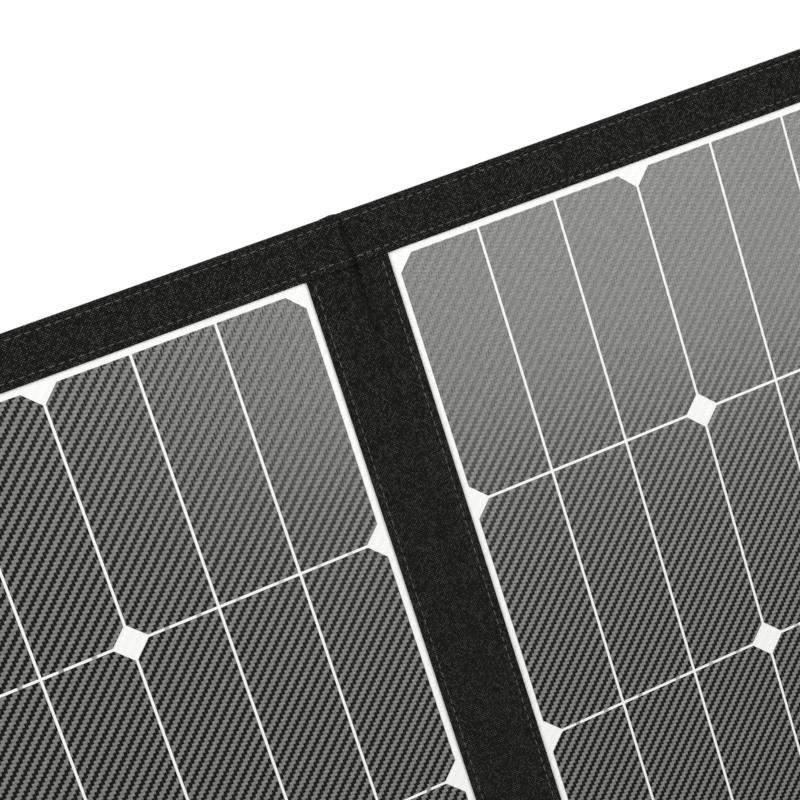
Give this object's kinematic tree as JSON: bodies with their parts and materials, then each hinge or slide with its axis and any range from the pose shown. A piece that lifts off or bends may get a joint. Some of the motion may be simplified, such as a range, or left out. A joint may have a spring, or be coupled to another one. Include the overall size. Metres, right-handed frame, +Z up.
{
  "type": "folding solar blanket",
  "caption": "Flat fabric blanket of stiff solar panels that folds in an accordion, with eyelets, two carry handles and a junction-box tab under a flap.",
  "frame": {"origin": "on the ground under the middle of the blanket, on the middle fold", "axes": "+X along the row of panels towards the junction box, +Y along the folds, +Z up out of the front of the panels"},
  "size_m": [1.7796, 0.7214, 0.0172],
  "materials": {
    "border_fabric": "woven polyester, matt",
    "back_cover_fabric": "coated woven polyester, matt",
    "backing_board": "glass-fibre sheet",
    "backsheet": "white film",
    "cell_silicon": "dark back-contact silicon",
    "tab_metal": "tinned copper tabs",
    "frontsheet": "clear textured film",
    "copper_ribbon": "bare copper",
    "eyelet_metal": "nickel plated",
    "webbing": "ribbed webbing",
    "box_plastic": "moulded, fine grain",
    "screw_steel": "plated steel",
    "terminal_plastic": "moulded",
    "diode_body": "epoxy",
    "gland_plastic": "moulded nylon",
    "hook_and_loop": "hook-and-loop tape"
  },
  "bodies": {
    "panel_1": {"back_cover_1": "back_cover_fabric", "backing_board_1": "backing_board", "white_backsheet_1": "backsheet", "cell_strips_1": "cell_silicon", "interconnect_tabs_1": "tab_metal", "clear_frontsheet_1": "frontsheet", "hem_upper_1": "border_fabric", "hem_lower_1": "border_fabric", "bus_ribbons_1": "copper_ribbon", "spine_right_1": "border_fabric", "end_border_left": "border_fabric", "eyelets_left": "eyelet_metal", "handle_ends_left": "webbing"},
    "panel_2": {"back_cover_2": "back_cover_fabric", "backing_board_2": "backing_board", "white_backsheet_2": "backsheet", "cell_strips_2": "cell_silicon", "interconnect_tabs_2": "tab_metal", "clear_frontsheet_2": "frontsheet", "hem_upper_2": "border_fabric", "hem_lower_2": "border_fabric", "bus_ribbons_2": "copper_ribbon", "spine_left_2": "border_fabric", "spine_right_2": "border_fabric"},
    "panel_3": {"back_cover_3": "back_cover_fabric", "backing_board_3": "backing_board", "white_backsheet_3": "backsheet", "cell_strips_3": "cell_silicon", "interconnect_tabs_3": "tab_metal", "clear_frontsheet_3": "frontsheet", "hem_upper_3": "border_fabric", "hem_lower_3": "border_fabric", "bus_ribbons_3": "copper_ribbon", "spine_left_3": "border_fabric", "spine_right_3": "border_fabric"},
    "panel_4": {"back_cover_4": "back_cover_fabric", "backing_board_4": "backing_board", "white_backsheet_4": "backsheet", "cell_strips_4": "cell_silicon", "interconnect_tabs_4": "tab_metal", "clear_frontsheet_4": "frontsheet", "hem_upper_4": "border_fabric", "hem_lower_4": "border_fabric", "bus_ribbons_4": "copper_ribbon", "spine_left_4": "border_fabric", "end_border_right": "border_fabric", "eyelets_right": "eyelet_metal", "handle_ends_right": "webbing"},
    "left_handle": {"carry_handle_left": "webbing"},
    "right_handle": {"carry_handle_right": "webbing"},
    "junction_tab": {"output_tab": "border_fabric", "junction_box_base": "box_plastic", "junction_box_lid": "box_plastic", "lid_screws": "screw_steel", "terminal_block": "terminal_plastic", "blocking_diodes": "diode_body", "cable_glands": "gland_plastic", "tab_loop_strip": "hook_and_loop"},
    "flap": {"cover_flap": "border_fabric", "flap_hook_strip": "hook_and_loop"}
  },
  "joints": [
    {"name": "left_fold", "type": "hinge", "parent": "panel_2", "child": "panel_1", "pos_m": [-0.4354, 0, 0.0048], "axis": [0, 1, 0], "range_deg": [0, 179.5]},
    {"name": "middle_fold", "type": "hinge", "parent": "panel_2", "child": "panel_3", "pos_m": [0, 0, -0.0008], "axis": [0, 1, 0], "range_deg": [0, 179.5]},
    {"name": "right_fold", "type": "hinge", "parent": "panel_3", "child": "panel_4", "pos_m": [0.4354, 0, 0.0048], "axis": [0, -1, 0], "range_deg": [0, 179.5]},
    {"name": "left_handle_swing", "type": "hinge", "parent": "panel_1", "child": "left_handle", "pos_m": [-0.6531, 0.2811, 0.0046], "axis": [-1, 0, 0], "range_deg": [-150, 0]},
    {"name": "right_handle_swing", "type": "hinge", "parent": "panel_4", "child": "right_handle", "pos_m": [0.6531, 0.2811, 0.0046], "axis": [-1, 0, 0], "range_deg": [-150, 0]},
    {"name": "tab_fold", "type": "hinge", "parent": "panel_4", "child": "junction_tab", "pos_m": [0.6531, -0.28145, -0.0005], "axis": [1, 0, 0], "range_deg": [0, 175]},
    {"name": "flap_open", "type": "hinge", "parent": "junction_tab", "child": "flap", "pos_m": [0.6531, -0.286, 0.0036], "axis": [1, 0, 0], "range_deg": [-120, 0]}
  ]
}
